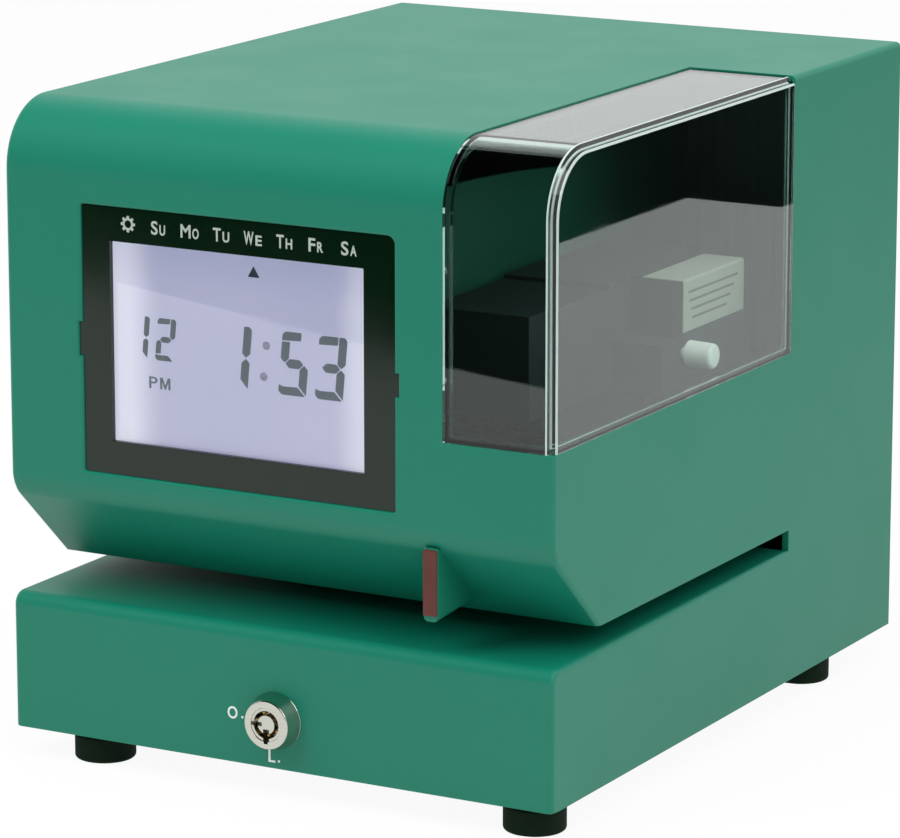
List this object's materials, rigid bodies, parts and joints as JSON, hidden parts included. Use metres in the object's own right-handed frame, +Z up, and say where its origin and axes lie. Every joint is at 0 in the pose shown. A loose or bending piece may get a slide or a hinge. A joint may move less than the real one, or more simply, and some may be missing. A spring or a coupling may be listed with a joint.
{
  "type": "time clock",
  "caption": "Desk time clock: a green case with a card throat, digital display, key lock and clear corner window slides forward off a steel chassis with type wheels and a print hammer.",
  "frame": {"origin": "middle of the footprint, where the feet rest on the table", "axes": "+X to the right seen from the front, +Y from the front to the back, +Z up; the front faces -Y"},
  "size_m": [0.216, 0.2824, 0.235],
  "materials": {
    "case_plastic": "finely textured green moulding",
    "clear_plastic": "polished clear acrylic",
    "bezel_plastic": "satin black moulding",
    "red_plastic": "satin red strip",
    "lock_nickel": "satin nickel plate",
    "plated_steel": "zinc-plated sheet",
    "screw_steel": "bright plated steel",
    "shaft_steel": "ground steel",
    "foot_rubber": "matt black rubber",
    "circuit_board": "green solder mask",
    "display_glass": "polished glass over a reflective layer",
    "backlight": "milky light guide",
    "core_iron": "varnished laminations",
    "coil_copper": "enamelled wire under tape",
    "spacer_brass": "turned brass",
    "wheel_plastic": "ivory moulding",
    "hammer_steel": "dark plated steel",
    "black_plastic": "satin black moulding",
    "ribbon_cloth": "inked woven ribbon",
    "cassette_plastic": "satin grey moulding",
    "label_paper": "matt cream label",
    "knob_plastic": "white moulding"
  },
  "bodies": {
    "chassis": {"base_plate": "plated_steel", "left_frame": "plated_steel", "mid_frame": "plated_steel", "right_frame": "plated_steel", "tie_bars": "shaft_steel", "bar_screws": "screw_steel", "base_screws": "screw_steel", "rear_panel": "plated_steel", "rear_screws": "screw_steel", "cord_bush": "black_plastic", "rubber_feet": "foot_rubber", "foot_screws": "screw_steel", "cam_keeper": "plated_steel", "display_bracket": "plated_steel", "display_board": "circuit_board", "display_backlight": "backlight", "display_glass": "display_glass", "main_board": "circuit_board", "board_spacers": "spacer_brass", "backup_cell": "screw_steel", "transformer_core": "core_iron", "transformer_coil": "coil_copper", "drive_motor": "shaft_steel", "motor_screws": "screw_steel", "type_shaft": "shaft_steel", "shaft_sleeves": "wheel_plastic", "shaft_clips": "screw_steel", "ribbon": "ribbon_cloth", "ribbon_guides": "shaft_steel", "hammer_bracket": "plated_steel", "hammer_pin": "shaft_steel", "solenoid_yoke": "plated_steel", "solenoid_coil": "coil_copper", "card_stop": "plated_steel", "trigger_bracket": "plated_steel", "trigger_pin": "shaft_steel", "trigger_switch": "black_plastic", "cassette_tray": "plated_steel", "ribbon_cassette": "cassette_plastic", "cassette_label": "label_paper"},
    "case": {"case_shell": "case_plastic", "clear_window": "clear_plastic", "window_screws": "screw_steel", "display_bezel": "bezel_plastic", "display_lens": "clear_plastic", "pointer_strip": "red_plastic", "lock_body": "lock_nickel", "lock_nut": "screw_steel"},
    "lock_plug": {"lock_plug": "lock_nickel", "lock_cam": "plated_steel", "cam_screw": "screw_steel"},
    "minute_wheel": {"minute_wheel": "wheel_plastic"},
    "hour_wheel": {"hour_wheel": "wheel_plastic"},
    "date_wheel": {"date_wheel": "wheel_plastic"},
    "drive_pinion": {"drive_pinion": "wheel_plastic"},
    "hammer": {"hammer": "hammer_steel", "hammer_pad": "foot_rubber"},
    "plunger": {"plunger": "shaft_steel"},
    "trigger": {"trigger_lever": "wheel_plastic"},
    "ribbon_knob": {"ribbon_knob": "knob_plastic"}
  },
  "joints": [
    {"name": "case_slide", "type": "slide", "parent": "chassis", "child": "case", "axis": [0, -1, 0], "range_m": [0, 0.29]},
    {"name": "lock_turn", "type": "hinge", "parent": "case", "child": "lock_plug", "pos_m": [0, -0.13475, 0.0275], "axis": [0, 1, 0], "range_deg": [0, 90]},
    {"name": "minute_turn", "type": "hinge", "parent": "chassis", "child": "minute_wheel", "pos_m": [0.0565, -0.02475, 0.0925], "axis": [1, 0, 0], "continuous": true},
    {"name": "hour_turn", "type": "hinge", "parent": "chassis", "child": "hour_wheel", "pos_m": [0.0565, -0.02475, 0.0925], "axis": [1, 0, 0], "continuous": true},
    {"name": "date_turn", "type": "hinge", "parent": "chassis", "child": "date_wheel", "pos_m": [0.0565, -0.02475, 0.0925], "axis": [1, 0, 0], "continuous": true},
    {"name": "pinion_turn", "type": "hinge", "parent": "chassis", "child": "drive_pinion", "pos_m": [0.07, 0.00125, 0.0925], "axis": [1, 0, 0], "continuous": true},
    {"name": "hammer_swing", "type": "hinge", "parent": "chassis", "child": "hammer", "pos_m": [0.0565, 0.03025, 0.044], "axis": [-1, 0, 0], "range_deg": [0, 13], "stiffness_Nm_per_rad": 0.1},
    {"name": "plunger_pull", "type": "slide", "parent": "chassis", "child": "plunger", "axis": [0, 0, -1], "range_m": [0, 0.006]},
    {"name": "trigger_press", "type": "hinge", "parent": "chassis", "child": "trigger", "pos_m": [0.03, 0.05725, 0.04], "axis": [-1, 0, 0], "range_deg": [0, 10], "stiffness_Nm_per_rad": 0.02},
    {"name": "ribbon_turn", "type": "hinge", "parent": "chassis", "child": "ribbon_knob", "pos_m": [0.095, 0.00125, 0.1407], "axis": [1, 0, 0], "continuous": true}
  ],
  "couplings": [
    {"joint": "hour_turn", "follows": "minute_turn", "ratio": 0.041667},
    {"joint": "date_turn", "follows": "minute_turn", "ratio": 0.0013441},
    {"joint": "pinion_turn", "follows": "minute_turn", "ratio": -3.3333},
    {"joint": "plunger_pull", "follows": "hammer_swing", "m_per_rad": 0.025}
  ]
}
